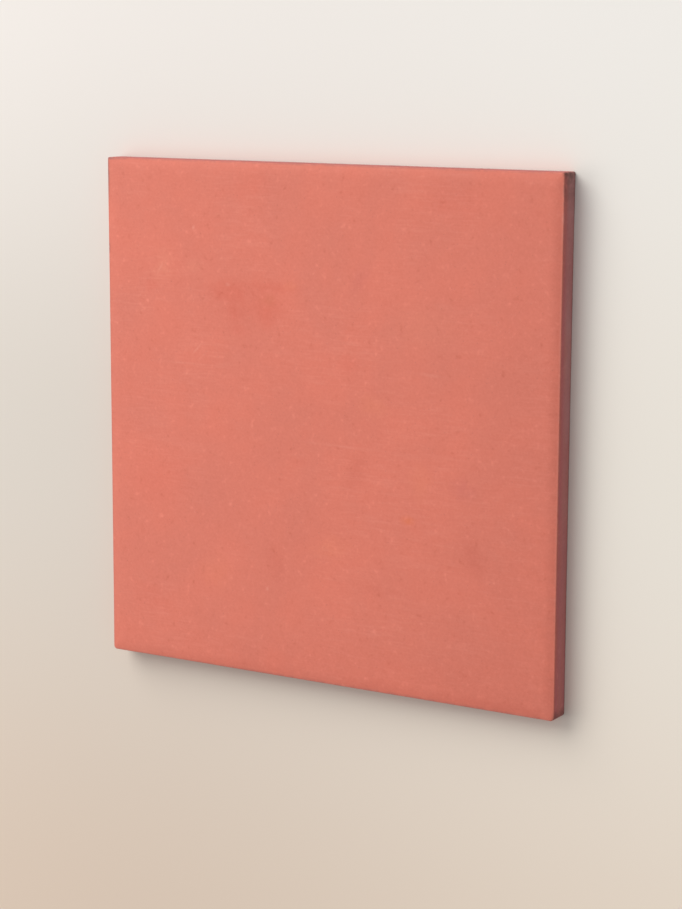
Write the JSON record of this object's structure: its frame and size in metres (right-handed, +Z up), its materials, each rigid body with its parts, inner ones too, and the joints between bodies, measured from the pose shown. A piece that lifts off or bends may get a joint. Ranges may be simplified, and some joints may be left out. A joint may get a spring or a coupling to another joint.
{
  "type": "floor tile",
  "caption": "Square unglazed terracotta floor tile with softly cushioned edges, eased arrises and a shallow ribbed back that keys into its bed.",
  "frame": {"origin": "centre of the back, on the plane of its border and ribs, where the tile lies on the floor", "axes": "+Z up, out of the wear face; +X towards the side that the picture shows at the right; +Y towards the side that the picture shows at the top"},
  "size_m": [0.3, 0.3, 0.014],
  "materials": {
    "terracotta": "matte"
  },
  "bodies": {
    "root": {"floor_tile": "terracotta"}
  },
  "joints": []
}
